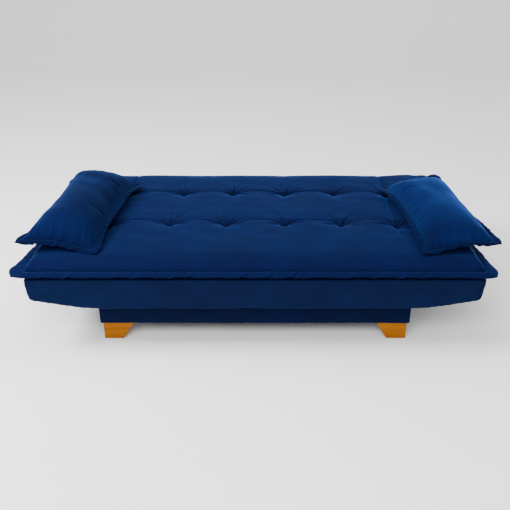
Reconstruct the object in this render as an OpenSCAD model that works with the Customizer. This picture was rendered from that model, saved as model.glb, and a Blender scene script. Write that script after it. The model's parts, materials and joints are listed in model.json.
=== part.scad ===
// Futon sofa bed, drawn flat as a bed.
// Origin: on the floor under the middle of the bed.
// +X runs along the width, +Y towards the back, +Z up.
// The seat frame is fixed to the base box; the back frame folds up about the ratchet hinges.

/* [Bed] */
// Width of the pad, from flange edge to flange edge
pad_w = 1900; // [1700:10:2000]
// Depth of the pad with the back laid flat
pad_d = 1120; // [1060:10:1200]
// Height of the lying surface above the floor
bed_h = 399; // [390:1:420]
// Width of the sewn flange round the pad
flange_w = 24; // [10:1:30]
// Depth of the seat, from the front flange edge to the fold
seat_d = 465; // [450:5:500]

/* [Frame] */
// Half the width of the upholstered frames at their top
frame_half_w = 937; // [850:1:980]
// Thickness of the frame boards
rail_t = 25; // [20:1:28]
// Thickness of the padded cover over the boards
skin_t = 5; // [3:1:6]

/* [Base] */
// Width of the base box
base_w = 1314; // [1280:2:1340]
// Depth of the base box
base_d = 670; // [640:5:700]
// Distance of the base box behind the front flange edge
base_setback = 80; // [70:5:100]
// Thickness of the base boards
base_board_t = 22; // [18:1:25]

/* [Feet] */
// Height of the wooden feet with their glides
foot_h = 81; // [70:1:85]
// Width of a foot at its top
foot_top_w = 130; // [110:1:140]
// Width of a foot at its bottom
foot_bottom_w = 81; // [60:1:100]
// Thickness of a foot, front to back
foot_t = 60; // [45:1:70]

/* [Hinge] */
// Angle that the back folds up to its upright notch
fold_max = 75; // [60:5:75]
// Radius of the ratchet disc
ratchet_r = 34; // [33:1:36]
// Radius of the hinge pin
pin_r = 8; // [6:0.5:9]

/* [Pillows] */
// Width of a pillow
pillow_w = 346; // [300:2:360]
// Length of a pillow
pillow_l = 740; // [700:5:760]
// Thickness of a pillow
pillow_h = 113; // [90:1:130]
// Distance of a pillow's middle from the middle of the bed
pillow_x = 790; // [770:1:800]
// Place of a pillow's middle along the bed's depth
pillow_y = -80; // [-100:5:-60]
// Angle that the back end of a pillow turns inward
pillow_yaw = 6.5; // [0:0.5:8]

/* [Hidden] */
$fn = 48;

eps = 0.5;

// Colours
velvet = [0.05, 0.11, 0.29];
dark_velvet = [0.03, 0.07, 0.18];
beech = [0.82, 0.50, 0.10];
pine = [0.80, 0.65, 0.44];
steel = [0.62, 0.64, 0.66];
black = [0.08, 0.08, 0.08];

// Places along Y
front_y = -pad_d / 2;
rear_y = pad_d / 2;
fold_y = front_y + seat_d;
fold_gap = 4;
frame_inset = 20;
frame_front_y = front_y + frame_inset;
frame_rear_y = rear_y - frame_inset;
base_front_y = front_y + base_setback;
base_rear_y = base_front_y + base_d;

// Heights
base_dust_t = 1;
base_top_z = 183;
frame_top_z = 315;
frame_bottom_z = 186;
webbing_t = 2;
pad_bottom_z = frame_top_z + webbing_t + 0.3;
flange_bottom_z = 343;
flange_top_z = 357;
shoulder_z = 385;

// Hinge: the axis runs along X just above the frames
axis_z = 330;
rail_inner_x = 903;
arm_t = 4;
seat_arm_x = rail_inner_x - arm_t;
back_arm_x = seat_arm_x - arm_t - 0.5;
back_rail_gap = 1;
hub_r = 26;
arm_low_z = 252;
arm_high_z = 292;
seat_arm_reach = 245;
back_arm_reach = 235;
neck_half_w = 14;
neck_angle = -37;
neck_l = 90;
neck_root = [fold_y - 75, 20];
boss_start = 70;
boss_lead = 8;
running = 0.05;
head_t = 3.5;
pawl_t = 3.6;
pawl_pivot = [fold_y - 55, axis_z - 50];
pawl_pin_r = 5;
pawl_tooth_w = 6;
pawl_tooth_h = 10;
pawl_gap = 0.4;
pawl_bar_h = 11;
pawl_eye_r = 10;
notch_w = 12;
notch_depth = 10;
notch_shift = -1;
screw_r = 3;
screw_head_r = 6;
screw_head_t = 2.5;
screw_l = 24;
screw_z = (arm_low_z + arm_high_z) / 2;
screw_step = 60;
seat_screw_y = [for (i = [0 : 2]) fold_y - 100 - screw_step * i];
back_screw_y = [for (i = [0 : 2]) fold_y + 95 + screw_step * i];
pocket_half_y = 58;
pocket_x = [886, 911];
pocket_z = 372;

// Frame insides
bearer_x = [-600, -300, 0, 300, 600];
bearer_w = 44;
bearer_h = 44;
webbing_w = 55;
webbing_n = 15;
webbing_step = 120;
dust_t = 1.5;
groove_angle = fold_max / 2 + 1.5;

// Base insides
board_bottom_z = foot_h + base_dust_t;
base_skin_t = 4;
base_inner_half = base_w / 2 - base_skin_t - base_board_t;
base_inner_front = base_front_y + base_skin_t + base_board_t;
base_inner_rear = base_rear_y - base_skin_t - base_board_t;
base_bearer_x = [-300, 300];
base_bearer_z = 130;
block_size = 80;
block_top_z = 160;
frame_block_z = [232, 298];
frame_block_size = 60;
fold_block_z = [229, 247];
fold_block_size = 40;
foot_inset = 10;
foot_edge_y = 6;
foot_side_x = base_w / 2 - foot_inset;
foot_bolt_x = 600;
foot_bolt_r = 4;
foot_bolt_z = [40, 140];
glide_t = 3;
glide_r = 14;
seat_bolt_y = [base_front_y + 80, fold_y - 65];
seat_bolt_r = 4;
seat_bolt_z = [140, 224];
dust_hole_r = 6;
bumper_x = [-450, 0, 450];
bumper_r = 9;
bumper_gap = 0.4;
foot_bolt_in = 37;
foot_bolt_y = [base_front_y + foot_edge_y + foot_bolt_in, base_rear_y - foot_edge_y - foot_bolt_in];

// ---------- Helpers ----------

// Draws the children on the right, or mirrored on the left
module at_side(side) {
  if (side > 0) children();
  else mirror([1, 0, 0]) children();
}

// Turns a YZ outline into a plate that starts at x and is t thick
module plate_x(x, t) {
  translate([x, 0, 0]) rotate([90, 0, 90]) linear_extrude(height = t) children();
}

// Turns an XZ outline into a board from y0 to y1
module board_y(y0, y1) {
  translate([0, y1, 0]) rotate([90, 0, 0]) linear_extrude(height = y1 - y0) children();
}

// A box from its lowest to its highest corner
module box(low, high) {
  translate(low) cube(high - low);
}

// A rod along X
module rod_x(x0, x1, y, z, r) {
  translate([x0, y, z]) rotate([0, 90, 0]) cylinder(h = x1 - x0, r = r);
}

// Right half of the boat-shaped end view of the frames, drawn in by the inset d
function boat_half(d) = concat(
  [[657, frame_bottom_z + d], [727, frame_bottom_z + 4 + d], [800, frame_bottom_z + 16 + d]],
  [for (a = [-80 : 16 : 0])
    [frame_half_w - 33 + (25 - d) * cos(a), 245 + (25 - d) * sin(a)]],
  [[frame_half_w - d, frame_top_z]]
);

function mirrored(points) = [for (i = [len(points) - 1 : -1 : 0]) [-points[i][0], points[i][1]]];

// The whole outline; lift raises the open top, for cutting
module boat(d, lift = 0) {
  half = boat_half(d);
  top = frame_top_z + lift;
  polygon(concat(
    half,
    lift > 0 ? [[frame_half_w - d, top], [-frame_half_w + d, top]] : [],
    mirrored(half)
  ));
}

// A strip of the outline between two distances from the middle, on the right
module boat_strip(d, x0, x1) {
  intersection() {
    boat(d);
    translate([x0, 0]) square([x1 - x0, 2 * frame_top_z]);
  }
}

// ---------- Feet ----------

// Front view of a right foot: upright outer edge, sloping inner edge
module foot_outline() {
  polygon([
    [foot_side_x - foot_top_w, foot_h],
    [foot_side_x, foot_h],
    [foot_side_x, glide_t],
    [foot_side_x - foot_bottom_w, glide_t]
  ]);
}

module foot(side, rear) {
  y0 = rear ? base_rear_y - foot_edge_y - foot_t : base_front_y + foot_edge_y;
  bolt_y = rear ? foot_bolt_y[1] : foot_bolt_y[0];
  color(beech) at_side(side) difference() {
    board_y(y0, y0 + foot_t) foot_outline();
    translate([foot_bolt_x, bolt_y, foot_bolt_z[0]]) cylinder(h = foot_h, r = foot_bolt_r);
  }
}

module foot_glides() {
  color(black) for (side = [-1, 1], y = foot_bolt_y)
    translate([side * (foot_side_x - foot_bottom_w / 2), y, 0]) cylinder(h = glide_t, r = glide_r);
}

module foot_bolts() {
  color(steel) for (side = [-1, 1], y = foot_bolt_y)
    translate([side * foot_bolt_x, y, foot_bolt_z[0]])
      cylinder(h = foot_bolt_z[1] - foot_bolt_z[0], r = foot_bolt_r);
}

// ---------- Base box ----------

module base_long_board(y0) {
  color(pine) box([-base_w / 2 + base_skin_t, y0, board_bottom_z],
    [base_w / 2 - base_skin_t, y0 + base_board_t, base_top_z]);
}

module base_side_board(side) {
  color(pine) at_side(side) box([base_inner_half, base_inner_front, board_bottom_z],
    [base_inner_half + base_board_t, base_inner_rear, base_top_z]);
}

module base_bearers() {
  color(pine) difference() {
    for (x = base_bearer_x)
      box([x - bearer_w / 2, base_inner_front, base_bearer_z],
        [x + bearer_w / 2, base_inner_rear, base_top_z]);
    seat_bolt_set();
  }
}

// Triangular glue blocks in the corners of a rectangle, cut by the foot bolts
module corner_blocks(half_x, y0, y1, z0, z1, size) {
  for (side = [-1, 1], end = [0, 1])
    translate([side * half_x, end == 0 ? y0 : y1, z0])
      linear_extrude(height = z1 - z0)
        polygon([[0, 0], [-side * size, 0], [0, end == 0 ? size : -size]]);
}

module base_corner_blocks() {
  color(pine) difference() {
    corner_blocks(base_inner_half, base_inner_front, base_inner_rear,
      board_bottom_z, block_top_z, block_size);
    for (side = [-1, 1], y = foot_bolt_y)
      translate([side * foot_bolt_x, y, 0]) cylinder(h = foot_bolt_z[1], r = foot_bolt_r);
  }
}

module base_dust_cover() {
  color(black) difference() {
    box([-base_w / 2 + base_skin_t, base_front_y + base_skin_t, foot_h],
      [base_w / 2 - base_skin_t, base_rear_y - base_skin_t, board_bottom_z]);
    for (side = [-1, 1], y = foot_bolt_y)
      translate([side * foot_bolt_x, y, 0]) cylinder(h = foot_bolt_z[1], r = dust_hole_r);
  }
}

module base_cover() {
  color(dark_velvet) difference() {
    box([-base_w / 2, base_front_y, foot_h], [base_w / 2, base_rear_y, base_top_z]);
    box([-base_w / 2 + base_skin_t, base_front_y + base_skin_t, foot_h - eps],
      [base_w / 2 - base_skin_t, base_rear_y - base_skin_t, base_top_z + eps]);
  }
}

// Plywood strips that carry the seat frame on the base
module seat_spacers() {
  color(pine) difference() {
    for (x = base_bearer_x)
      box([x - bearer_w / 2, base_inner_front, base_top_z],
        [x + bearer_w / 2, fold_y - 20, frame_bottom_z + skin_t - dust_t]);
    seat_bolt_set();
  }
}

module seat_bolt_set(slack = 0) {
  for (x = base_bearer_x, y = seat_bolt_y)
    translate([x, y, seat_bolt_z[0]])
      cylinder(h = seat_bolt_z[1] - seat_bolt_z[0], r = seat_bolt_r + slack);
}

module seat_bolts() {
  color(steel) seat_bolt_set();
}

// Rubber discs that the folded-down back rests on
module rest_bumpers() {
  color(black) for (x = bumper_x)
    translate([x, base_rear_y - base_skin_t - base_board_t / 2, base_top_z])
      cylinder(h = frame_bottom_z + skin_t - dust_t - base_top_z - bumper_gap, r = bumper_r);
}

// ---------- Upholstered frames ----------

// A rail beside the fold: it stops at the end rails and is notched for the hinge arms
module fold_rail(y0) {
  color(pine) difference() {
    board_y(y0, y0 + rail_t) intersection() {
      boat(skin_t);
      translate([-rail_inner_x, 0]) square([2 * rail_inner_x, frame_top_z]);
    }
    for (side = [-1, 1]) at_side(side)
      box([rail_inner_x - 18, y0 - eps, arm_low_z - 3],
        [rail_inner_x + eps, y0 + rail_t + eps, frame_top_z + eps]);
  }
}

// A rail across the whole width, at the front or at the rear
module long_rail(y0) {
  color(pine) board_y(y0, y0 + rail_t) boat(skin_t);
}

module end_rail(side, y0, y1, inner_x, screw_y) {
  color(pine) at_side(side) difference() {
    board_y(y0, y1) boat_strip(skin_t, inner_x, inner_x + rail_t);
    for (y = screw_y)
      rod_x(inner_x - eps, inner_x + screw_l - 3, y, screw_z, screw_r);
  }
}

module bearers(y0, y1, bolted) {
  color(pine) difference() {
    for (x = bearer_x)
      box([x - bearer_w / 2, y0, frame_bottom_z + skin_t],
        [x + bearer_w / 2, y1, frame_bottom_z + skin_t + bearer_h]);
    if (bolted) seat_bolt_set();
  }
}

// Elastic bands stapled on top of the two long rails of a frame
module webbing(y0, y1) {
  color(black) for (i = [0 : webbing_n - 1]) {
    x = (i - (webbing_n - 1) / 2) * webbing_step;
    box([x - webbing_w / 2, y0, frame_top_z], [x + webbing_w / 2, y1, frame_top_z + webbing_t]);
  }
}

// Thin cloth that closes the underside between the rails
module dust_cover(y0, y1, bolted) {
  color(black) difference() {
    board_y(y0, y1) intersection() {
      difference() {
        boat(skin_t - dust_t, 1);
        boat(skin_t, 2);
      }
      translate([-rail_inner_x, 0]) square([2 * rail_inner_x, 228]);
    }
    if (bolted) seat_bolt_set(dust_hole_r - seat_bolt_r);
  }
}

// Padded cloth round the long rail and both ends, turned under the boards.
// open_y is the side of the fold, where the cover stays open.
module frame_cover(long_y, open_y) {
  dir = open_y > long_y ? 1 : -1;
  past_y = open_y + dir * eps;
  under_y = long_y + dir * (skin_t + rail_t);
  color(dark_velvet) difference() {
    board_y(min(long_y, open_y), max(long_y, open_y)) boat(0);
    board_y(min(long_y + dir * skin_t, past_y), max(long_y + dir * skin_t, past_y)) boat(skin_t, 20);
    box([-rail_inner_x, min(under_y, past_y), 0], [rail_inner_x, max(under_y, past_y), frame_top_z + 1]);
  }
}

// A triangular glue block between a long rail and an end rail; dir points into the frame
module frame_block(side, x, y, dir) {
  translate([side * x, y, frame_block_z[0]])
    linear_extrude(height = frame_block_z[1] - frame_block_z[0])
      polygon([[0, 0], [-side * frame_block_size, 0], [0, dir * frame_block_size]]);
}

module seat_corner_blocks() {
  rail_y = fold_y - fold_gap / 2 - rail_t;
  color(pine) {
    for (side = [-1, 1])
      frame_block(side, rail_inner_x, frame_front_y + skin_t + rail_t, 1);
    for (side = [-1, 1]) at_side(side)
      box([rail_inner_x - fold_block_size, rail_y - fold_block_size, fold_block_z[0]],
        [rail_inner_x, rail_y, fold_block_z[1]]);
  }
}

module back_corner_blocks() {
  inner_x = rail_inner_x + back_rail_gap;
  rail_y = fold_y + fold_gap / 2 + rail_t;
  color(pine) {
    for (side = [-1, 1])
      frame_block(side, inner_x, frame_rear_y - skin_t - rail_t, -1);
    for (side = [-1, 1]) at_side(side)
      box([inner_x - fold_block_size, rail_y, fold_block_z[0]],
        [inner_x, rail_y + fold_block_size, fold_block_z[1]]);
  }
}

// ---------- Pads ----------

// The whole pad: flat underside, flange round the middle, crowned top
module pad_blank() {
  hull() {
    pad_slab(flange_w, pad_bottom_z, pad_bottom_z + 1);
    pad_slab(0, flange_bottom_z, flange_top_z);
    pad_slab(1.4 * flange_w, shoulder_z - 1, shoulder_z);
    pad_slab(3 * flange_w, bed_h - 1, bed_h);
  }
}

// One level of the pad, drawn in by the inset
module pad_slab(inset, z0, z1) {
  box([-pad_w / 2 + inset, front_y + inset, z0], [pad_w / 2 - inset, rear_y - inset, z1]);
}

// Side view of the room that one half may fill; dir is -1 for the seat and 1 for the back
module pad_side_outline(dir) {
  half_gap = fold_gap / 2;
  top_z = bed_h + 10;
  top_gap = half_gap + (top_z - axis_z) * tan(groove_angle);
  polygon([
    [fold_y + dir * half_gap, 0],
    [fold_y + dir * half_gap, axis_z],
    [fold_y + dir * top_gap, top_z],
    [dir * pad_d, top_z],
    [dir * pad_d, 0]
  ]);
}

module half_pad(dir) {
  color(velvet) difference() {
    intersection() {
      pad_blank();
      plate_x(-pad_w, 2 * pad_w) pad_side_outline(dir);
    }
    for (side = [-1, 1]) at_side(side)
      box([pocket_x[0], fold_y - pocket_half_y, 0], [pocket_x[1], fold_y + pocket_half_y, pocket_z]);
  }
}

// ---------- Ratchet hinges ----------

module hinge_seat_arm(side) {
  color(steel) at_side(side) difference() {
    plate_x(seat_arm_x, arm_t) {
      hull() {
        translate([fold_y, axis_z]) circle(r = hub_r);
        translate([neck_root[0], screw_z]) circle(r = neck_root[1]);
      }
      translate([fold_y - seat_arm_reach, arm_low_z])
        square([neck_root[0] - fold_y + seat_arm_reach, arm_high_z - arm_low_z]);
    }
    rod_x(seat_arm_x - eps, rail_inner_x + eps, fold_y, axis_z, pin_r);
    rod_x(seat_arm_x - eps, rail_inner_x + eps, pawl_pivot[0], pawl_pivot[1], pawl_pin_r);
    for (y = seat_screw_y)
      rod_x(seat_arm_x - eps, rail_inner_x + eps, y, screw_z, screw_r);
  }
}

// The notches sit where the tooth reaches at the flat, lounge and upright positions
module ratchet_notches() {
  for (i = [0 : 2])
    rotate(-i * fold_max / 2)
      translate([notch_shift - notch_w / 2, -ratchet_r - 5])
        square([notch_w, notch_depth + 5]);
}

module hinge_back_arm(side) {
  boss_y = fold_y + boss_start;
  color(steel) at_side(side) difference() {
    union() {
      plate_x(back_arm_x, arm_t) difference() {
        union() {
          translate([fold_y, axis_z]) circle(r = ratchet_r);
          translate([fold_y, axis_z]) rotate(neck_angle)
            translate([0, -neck_half_w]) square([neck_l, 2 * neck_half_w]);
          translate([boss_y - boss_lead, arm_low_z])
            square([back_arm_reach - boss_start + boss_lead, arm_high_z - arm_low_z]);
        }
        translate([fold_y, axis_z]) ratchet_notches();
      }
      box([back_arm_x + arm_t, boss_y, arm_low_z],
        [rail_inner_x + back_rail_gap, fold_y + back_arm_reach, arm_high_z]);
    }
    rod_x(back_arm_x - eps, rail_inner_x, fold_y, axis_z, pin_r + running);
    for (y = back_screw_y)
      rod_x(back_arm_x - eps, rail_inner_x + back_rail_gap + eps, y, screw_z, screw_r);
  }
}

// A headed pin whose shank ends in the seat arm
module headed_pin(side, y, z, r, head_r) {
  color(steel) at_side(side) {
    rod_x(back_arm_x - eps, rail_inner_x, y, z, r);
    rod_x(back_arm_x - eps - head_t, back_arm_x - eps, y, z, head_r);
  }
}

module hinge_screws(screw_y, head_x) {
  color(steel) for (side = [-1, 1], y = screw_y) at_side(side) {
    rod_x(head_x, head_x + screw_l, y, screw_z, screw_r);
    rod_x(head_x - screw_head_t, head_x, y, screw_z, screw_head_r);
  }
}

// The pawl's bar lies below the disc and its tooth rides just off the rim
module pawl(side) {
  tooth_top = axis_z - ratchet_r - pawl_gap;
  bar_top = tooth_top - pawl_tooth_h;
  color(steel) at_side(side) difference() {
    plate_x(back_arm_x + (arm_t - pawl_t) / 2, pawl_t) {
      translate(pawl_pivot) circle(r = pawl_eye_r);
      translate([pawl_pivot[0], bar_top - pawl_bar_h])
        square([fold_y + pawl_tooth_w / 2 - pawl_pivot[0], pawl_bar_h]);
      translate([fold_y - pawl_tooth_w / 2, bar_top - 1]) square([pawl_tooth_w, tooth_top - bar_top + 1]);
    }
    rod_x(back_arm_x - eps, seat_arm_x, pawl_pivot[0], pawl_pivot[1], pawl_pin_r + running);
  }
}

// ---------- Pillows ----------

// A loose pillow: narrow at the top and bottom, full size at the rim
module pillow(side) {
  bottom_z = bed_h + 2;
  color(velvet) at_side(side) translate([pillow_x, pillow_y, 0]) rotate(pillow_yaw)
    hull() {
      pillow_slab(bottom_z, 1, 60, 70);
      pillow_slab(bottom_z + 0.30 * pillow_h, 6, 0, 0);
      pillow_slab(bottom_z + 0.78 * pillow_h, 1, 60, 70);
      pillow_slab(bottom_z + pillow_h - 1, 1, 130, 170);
    }
}

// One level of a pillow, narrower and shorter than the rim by in_w and in_l
module pillow_slab(z, t, in_w, in_l) {
  translate([-(pillow_w - in_w) / 2, -(pillow_l - in_l) / 2, z])
    cube([pillow_w - in_w, pillow_l - in_l, t]);
}

// ---------- Frame pieces by place ----------

module seat_end_rail(side) {
  end_rail(side, frame_front_y + skin_t + rail_t, fold_y - fold_gap / 2, rail_inner_x, seat_screw_y);
}

module back_end_rail(side) {
  end_rail(side, fold_y + fold_gap / 2, frame_rear_y - skin_t - rail_t,
    rail_inner_x + back_rail_gap, back_screw_y);
}

module seat_bearers() {
  bearers(frame_front_y + skin_t + rail_t, fold_y - fold_gap / 2 - rail_t, true);
}

module back_bearers() {
  bearers(fold_y + fold_gap / 2 + rail_t, frame_rear_y - skin_t - rail_t, false);
}

module seat_webbing() {
  webbing(frame_front_y + skin_t + 4, fold_y - fold_gap / 2 - 4);
}

module back_webbing() {
  webbing(fold_y + fold_gap / 2 + 4, frame_rear_y - skin_t - 4);
}

module seat_dust_cover() {
  dust_cover(frame_front_y + skin_t + rail_t, fold_y - fold_gap / 2, true);
}

module back_dust_cover() {
  dust_cover(fold_y + fold_gap / 2, frame_rear_y - skin_t - rail_t, false);
}

module hinge_pin(side) {
  headed_pin(side, fold_y, axis_z, pin_r, pin_r + 5);
}

module pawl_pin(side) {
  headed_pin(side, pawl_pivot[0], pawl_pivot[1], pawl_pin_r, pawl_pin_r + 3);
}

// ---------- Nodes ----------

foot(-1, false);  // foot_front_left
foot(1, false);  // foot_front_right
foot(-1, true);  // foot_rear_left
foot(1, true);  // foot_rear_right
foot_glides();
foot_bolts();
base_long_board(base_front_y + base_skin_t);  // base_front_board
base_long_board(base_inner_rear);  // base_rear_board
base_side_board(-1);  // base_side_board_left
base_side_board(1);  // base_side_board_right
base_bearers();
base_corner_blocks();
base_dust_cover();
base_cover();
seat_spacers();
seat_bolts();
rest_bumpers();
long_rail(frame_front_y + skin_t);  // seat_front_rail
fold_rail(fold_y - fold_gap / 2 - rail_t);  // seat_fold_rail
seat_end_rail(-1);  // seat_end_rail_left
seat_end_rail(1);  // seat_end_rail_right
seat_bearers();
seat_corner_blocks();
seat_webbing();
seat_dust_cover();
frame_cover(frame_front_y, fold_y - fold_gap / 2);  // seat_cover
half_pad(-1);  // seat_pad
hinge_seat_arm(-1);  // hinge_seat_arm_left
hinge_seat_arm(1);  // hinge_seat_arm_right
hinge_pin(-1);  // hinge_pin_left
hinge_pin(1);  // hinge_pin_right
pawl_pin(-1);  // pawl_pin_left
pawl_pin(1);  // pawl_pin_right
hinge_screws(seat_screw_y, seat_arm_x);  // hinge_seat_screws
fold_rail(fold_y + fold_gap / 2);  // back_fold_rail
long_rail(frame_rear_y - skin_t - rail_t);  // back_top_rail
back_end_rail(-1);  // back_end_rail_left
back_end_rail(1);  // back_end_rail_right
back_bearers();
back_corner_blocks();
back_webbing();
back_dust_cover();
frame_cover(frame_rear_y, fold_y + fold_gap / 2);  // back_cover
half_pad(1);  // back_pad
hinge_back_arm(-1);  // hinge_back_arm_left
hinge_back_arm(1);  // hinge_back_arm_right
hinge_screws(back_screw_y, back_arm_x);  // hinge_back_screws
pawl(-1);  // pawl_left
pawl(1);  // pawl_right
pillow(-1);  // pillow_left
pillow(1);  // pillow_right
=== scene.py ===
"""Looks of the futon sofa bed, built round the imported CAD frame. Metres, +X width, +Y back, +Z up."""

import json
import math

import bmesh
import bpy
import numpy as np
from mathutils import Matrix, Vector


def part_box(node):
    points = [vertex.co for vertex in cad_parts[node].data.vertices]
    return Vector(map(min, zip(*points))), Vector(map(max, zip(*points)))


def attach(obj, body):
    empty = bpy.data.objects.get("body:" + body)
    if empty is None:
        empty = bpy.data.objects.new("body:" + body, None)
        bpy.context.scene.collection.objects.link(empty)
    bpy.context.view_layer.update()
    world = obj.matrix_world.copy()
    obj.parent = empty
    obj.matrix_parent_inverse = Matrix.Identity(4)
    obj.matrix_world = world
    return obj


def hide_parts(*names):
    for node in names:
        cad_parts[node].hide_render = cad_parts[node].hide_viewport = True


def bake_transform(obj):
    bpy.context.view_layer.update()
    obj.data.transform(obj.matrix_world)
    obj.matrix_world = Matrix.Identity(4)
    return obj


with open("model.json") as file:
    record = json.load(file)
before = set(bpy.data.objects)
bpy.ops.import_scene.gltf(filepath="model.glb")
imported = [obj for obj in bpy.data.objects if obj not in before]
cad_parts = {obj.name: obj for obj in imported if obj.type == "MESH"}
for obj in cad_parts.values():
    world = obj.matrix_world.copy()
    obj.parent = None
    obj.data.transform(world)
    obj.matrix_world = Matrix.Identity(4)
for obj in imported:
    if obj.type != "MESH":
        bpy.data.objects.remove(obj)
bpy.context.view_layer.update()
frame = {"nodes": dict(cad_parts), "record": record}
CLOTH_FRAMES = 20
SCENE = bpy.context.scene

# ---------- Places taken from the frame ----------

JOINTS = {j["name"]: j for j in frame["record"]["behaviour"]["joints"]}
FOLD_Y = JOINTS["back_fold"]["pos_m"][1]

seat_low, seat_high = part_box("seat_pad")
back_low, back_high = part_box("back_pad")
PAD_HALF_W = seat_high.x
PAD_FRONT = seat_low.y
PAD_REAR = back_high.y
PAD_BOTTOM = seat_low.z
PAD_TOP = seat_high.z

# ---------- Topper dimensions ----------

FLANGE_W = 0.026
FLANGE_T = 0.0085
SEAM_X = PAD_HALF_W - FLANGE_W + 0.004
SEAM_FRONT = PAD_FRONT + FLANGE_W - 0.004
SEAM_REAR = PAD_REAR - FLANGE_W + 0.004
SEAM_Z = 0.357
CROWN = PAD_TOP - SEAM_Z - 0.001
TUFT_ROWS = [FOLD_Y - 0.056, 0.226]
TUFTS = [
    [-0.654, -0.384, -0.131, 0.131, 0.385, 0.636],
    [-0.628, -0.353, -0.111, 0.143, 0.388, 0.645],
]
ROW_BOWS = [0.042, 0.028]
PANEL_X = 0.645
# Crease depth that gives the full painted shade on the topper.
FULL_SHADE_CREASE = 0.0062
TOPPER_PUFF_CAP = 0.0038
FINE_STEP = 0.0027
COARSE_STEP = 0.0115


# ---------- Small tools ----------


def smooth(t):
    """Eases from 0 to 1."""
    t = np.clip(t, 0.0, 1.0)
    return t * t * (3.0 - 2.0 * t)


class Waves:
    """Seeded sum of plane waves: smooth noise over the plane with a chosen wavelength."""

    def __init__(self, seed, wavelength, count=14, spread=0.5):
        rng = np.random.default_rng(seed)
        angle = rng.uniform(0.0, 2.0 * math.pi, count)
        length = wavelength * (1.0 + spread * rng.uniform(-1.0, 1.0, count))
        self.kx = 2.0 * math.pi * np.cos(angle) / length
        self.ky = 2.0 * math.pi * np.sin(angle) / length
        self.phase = rng.uniform(0.0, 2.0 * math.pi, count)
        self.scale = 1.0 / math.sqrt(count)

    def __call__(self, x, y):
        total = np.zeros(np.broadcast(x, y).shape)
        for kx, ky, phase in zip(self.kx, self.ky, self.phase):
            total += np.sin(kx * x + ky * y + phase)
        return total * self.scale


def mesh_object(name, points, faces, material=None):
    """A new mesh object in the row frame."""
    mesh = bpy.data.meshes.new(name)
    mesh.from_pydata([tuple(p) for p in points], [], [tuple(f) for f in faces])
    mesh.validate()
    mesh.update()
    mesh.polygons.foreach_set("use_smooth", [True] * len(mesh.polygons))
    piece = bpy.data.objects.new(name, mesh)
    SCENE.collection.objects.link(piece)
    if material is not None:
        mesh.materials.append(material)
    return piece


def get_points(mesh):
    """The mesh's vertices as an array."""
    flat = np.empty(len(mesh.vertices) * 3)
    mesh.vertices.foreach_get("co", flat)
    return flat.reshape(-1, 3)


def set_points(mesh, points):
    """Moves the mesh's vertices."""
    mesh.vertices.foreach_set("co", np.asarray(points, float).ravel())
    mesh.update()


def apply_modifiers(piece):
    """Bakes every modifier of the piece into its mesh."""
    bpy.context.view_layer.update()
    graph = bpy.context.evaluated_depsgraph_get()
    mesh = bpy.data.meshes.new_from_object(piece.evaluated_get(graph))
    piece.modifiers.clear()
    piece.data = mesh


def inflate(piece, pins, frames, cap, stiffness, bending, pressure, growth):
    """Runs Blender's Cloth on the piece with gravity off and returns its capped new points."""
    rest = get_points(piece.data)
    group = piece.vertex_groups.new(name="pins")
    if len(pins):
        group.add([int(i) for i in pins], 1.0, "REPLACE")
    cloth = piece.modifiers.new("cloth", "CLOTH")
    cloth.point_cache.frame_start = 1
    cloth.point_cache.frame_end = frames
    cloth.collision_settings.use_collision = False
    settings = cloth.settings
    settings.quality = 6
    settings.mass = 0.25
    settings.air_damping = 2.0
    settings.tension_stiffness = stiffness
    settings.compression_stiffness = stiffness
    settings.shear_stiffness = stiffness * 0.4
    settings.bending_stiffness = bending
    settings.tension_damping = 10.0
    settings.compression_damping = 10.0
    settings.effector_weights.gravity = 0.0
    settings.shrink_min = -growth
    settings.use_pressure = True
    settings.uniform_pressure_force = pressure
    if len(pins):
        settings.vertex_group_mass = "pins"
    for number in range(1, frames + 1):
        SCENE.frame_set(number)
    graph = bpy.context.evaluated_depsgraph_get()
    moved = get_points(piece.evaluated_get(graph).data)
    piece.modifiers.clear()
    piece.vertex_groups.clear()
    SCENE.frame_set(1)
    step = moved - rest
    length = np.linalg.norm(step, axis=1, keepdims=True)
    return rest + step * np.minimum(1.0, cap / np.maximum(length, 1e-9))


def refine(values, axis):
    """Doubles a grid along one axis with the four-point rule, which keeps it smooth."""
    v = np.moveaxis(values, axis, 0)
    before = np.concatenate([2 * v[:1] - v[1:2], v, 2 * v[-1:] - v[-2:-1]])
    middle = (9.0 * (v[:-1] + v[1:]) - before[:-3] - before[3:]) / 16.0
    out = np.empty((2 * len(v) - 1,) + v.shape[1:])
    out[0::2] = v
    out[1::2] = middle
    return np.moveaxis(out, 0, axis)


def spaced_lines(low, high, tufts, reach, behind, edges):
    """Grid lines from low to high, close together near each tuft and each edge."""
    x = np.linspace(low, high, 4001)
    near = np.zeros_like(x)
    for place in tufts:
        near = np.maximum(near, 1.0 - smooth((np.abs(x - place) - reach) / 0.030))
        beyond = (x > place) & (x < place + behind)
        near = np.where(beyond, np.maximum(near, 0.35), near)
    for place in edges:
        near = np.maximum(near, 0.55 * (1.0 - smooth((np.abs(x - place) - 0.022) / 0.030)))
    density = near / FINE_STEP + (1.0 - near) / COARSE_STEP
    run = np.concatenate([[0.0], np.cumsum(0.5 * (density[1:] + density[:-1]) * np.diff(x))])
    count = int(round(run[-1] / 2.0)) * 2 + 1
    return np.interp(np.linspace(0.0, run[-1], count), run, x)


def grid_faces(rows, columns, flip=False, start=0):
    """Quads of a grid whose vertices are stored row by row."""
    r, c = np.meshgrid(np.arange(rows - 1), np.arange(columns - 1), indexing="ij")
    a = (start + r * columns + c).ravel()
    quads = np.stack([a, a + 1, a + 1 + columns, a + columns], axis=1)
    return quads[:, ::-1] if flip else quads


# ---------- Materials ----------


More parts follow.
